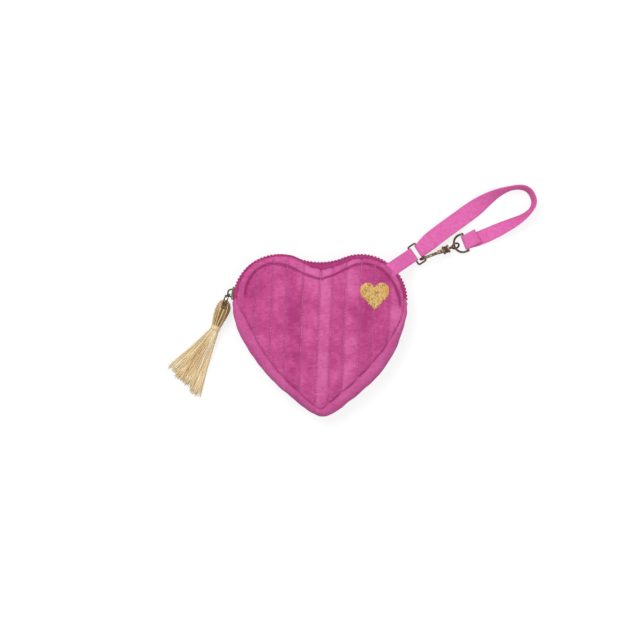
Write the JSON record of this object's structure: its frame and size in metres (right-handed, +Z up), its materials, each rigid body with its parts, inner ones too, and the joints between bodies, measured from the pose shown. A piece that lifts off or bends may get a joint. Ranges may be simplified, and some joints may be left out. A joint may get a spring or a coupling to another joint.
{
  "type": "heart shaped purse",
  "caption": "Quilted heart shaped zip purse with a wrist strap, snap hook and tassel zip pull, lying on its back.",
  "frame": {"origin": "middle of the flat on the back panel that the purse rests on", "axes": "+Z up out of the front panel, +Y towards the two lobes, +X towards the wrist strap"},
  "size_m": [0.3226, 0.2029, 0.027],
  "materials": {
    "velvet": "quilted cotton velvet, deep pink",
    "side_velvet": "plain cotton velvet, deep pink",
    "wadding": "polyester wadding",
    "lining": "plain cotton lining",
    "zip_tape": "woven zip tape",
    "zip_teeth": "dyed nylon",
    "gold_thread": "metallic embroidery thread",
    "tassel_yarn": "shiny viscose yarn",
    "brown_cord": "waxed cord",
    "strap_cotton": "folded cotton, edge stitched",
    "antique_brass": "antique plated, worn at the edges",
    "spring_steel": "bare spring strip"
  },
  "bodies": {
    "purse": {"front_panel": "velvet", "front_wadding": "wadding", "front_lining": "lining", "back_panel": "velvet", "back_wadding": "wadding", "back_lining": "lining", "gusset": "side_velvet", "gusset_lining": "lining", "zip_tape_front": "zip_tape", "zip_tape_back": "zip_tape", "zip_teeth_front": "zip_teeth", "zip_teeth_back": "zip_teeth", "zip_stops": "antique_brass", "heart_patch": "gold_thread", "strap_tab": "strap_cotton"},
    "slider": {"slider_body": "antique_brass", "slider_bail": "antique_brass"},
    "pull": {"pull_ring": "antique_brass"},
    "tassel": {"tassel_cord": "brown_cord", "tassel_head": "tassel_yarn", "tassel_binding": "tassel_yarn", "tassel_skirt": "tassel_yarn"},
    "flat_ring": {"tab_ring": "antique_brass"},
    "strap": {"wrist_strap": "strap_cotton"},
    "d_ring": {"d_ring": "antique_brass"},
    "eye": {"swivel_eye": "antique_brass"},
    "hook": {"hook_body": "antique_brass", "gate_pin": "antique_brass", "gate_spring": "spring_steel"},
    "gate": {"hook_gate": "antique_brass"}
  },
  "joints": [
    {"name": "slider_travel", "type": "hinge", "parent": "purse", "child": "slider", "pos_m": [-0.0355, 0.0282, 0.0135], "axis": [0, 0, -1], "range_deg": [0, 94]},
    {"name": "pull_swing", "type": "hinge", "parent": "slider", "child": "pull", "pos_m": [-0.07957, 0.03289, 0.0135], "axis": [-0.5878, 0.809, 0], "range_deg": [0, 60]},
    {"name": "tassel_swing", "type": "hinge", "parent": "pull", "child": "tassel", "pos_m": [-0.08119, 0.03171, 0.01111], "axis": [-0.6197, -0.4503, 0.6428], "range_deg": [0, 22]},
    {"name": "ring_swing", "type": "hinge", "parent": "purse", "child": "flat_ring", "pos_m": [0.08105, 0.06809, 0.005], "axis": [0.5592, -0.829, 0], "range_deg": [0, 60]},
    {"name": "strap_swing", "type": "hinge", "parent": "flat_ring", "child": "strap", "pos_m": [0.08735, 0.07234, 0.005], "axis": [0.5592, -0.829, 0], "range_deg": [0, 60]},
    {"name": "d_ring_tip", "type": "hinge", "parent": "strap", "child": "d_ring", "pos_m": [0.12778, 0.07966, 0.00223], "axis": [-0.3584, 0.9336, 0], "range_deg": [0, 10.5]},
    {"name": "eye_tip", "type": "hinge", "parent": "d_ring", "child": "eye", "pos_m": [0.11779, 0.07583, 0.005], "axis": [-0.3584, 0.9336, 0], "range_deg": [-14.5, 0]},
    {"name": "hook_swivel", "type": "hinge", "parent": "eye", "child": "hook", "pos_m": [0.09174, 0.06583, 0.005], "axis": [0.9336, 0.3584, 0], "range_deg": [-6, 6]},
    {"name": "gate_open", "type": "hinge", "parent": "hook", "child": "gate", "pos_m": [0.10435, 0.07067, 0.0087], "axis": [0.3584, -0.9336, 0], "range_deg": [0, 22], "stiffness_Nm_per_rad": 0.03, "springref_deg": -11.46, "deforming": ["gate_spring"]}
  ],
  "couplings": [
    {"joint": "eye_tip", "follows": "d_ring_tip", "ratio": -1.366}
  ]
}
